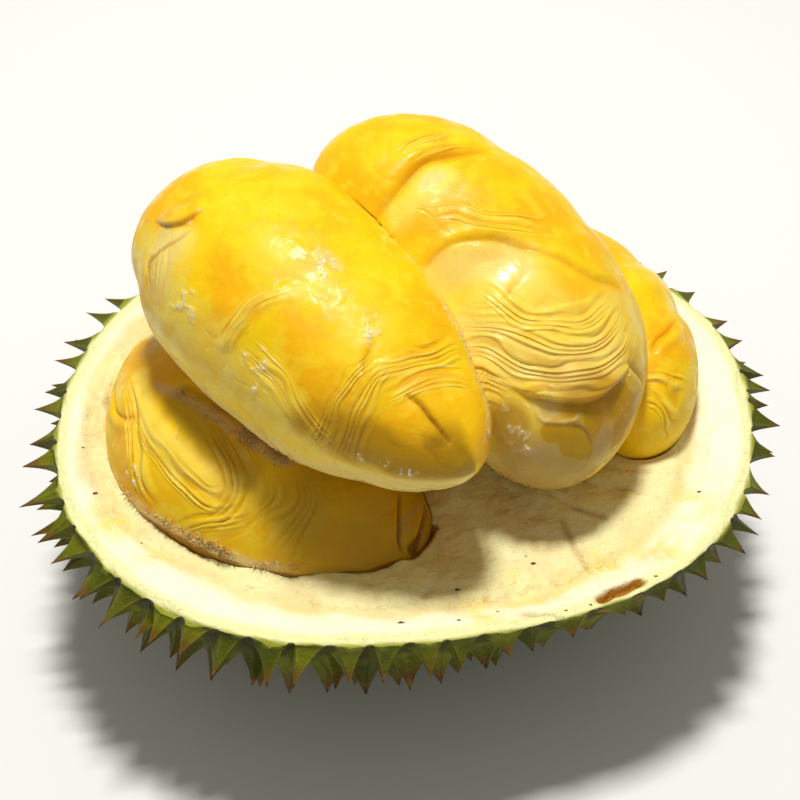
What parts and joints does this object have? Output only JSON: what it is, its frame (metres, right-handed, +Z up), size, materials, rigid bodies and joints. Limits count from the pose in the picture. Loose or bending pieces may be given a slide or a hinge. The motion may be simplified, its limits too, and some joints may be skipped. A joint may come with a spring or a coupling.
{
  "type": "durian",
  "caption": "Opened tropical fruit: a shell covered in spines and lined with thick pith, with pods of flesh lying in it and piled on top.",
  "frame": {"origin": "middle of the flat end of the lowest spine, which the husk stands on", "axes": "+Z up, with the opened face of the husk level; +X along the longest way across the husk"},
  "size_m": [0.232, 0.207, 0.1497],
  "materials": {
    "rind": "green spiny rind, waxy and slightly rough, brown at the tips of the spines",
    "pith": "cream pith, matt and slightly fibrous, yellow-green where it meets the rind",
    "flesh": "soft golden flesh with a moist satin skin that wrinkles in fine folds"
  },
  "bodies": {
    "root": {"rind": "rind", "pith": "pith", "pod_front_left": "flesh", "pod_right": "flesh", "pod_top_left": "flesh", "pod_top_right": "flesh"}
  },
  "joints": []
}
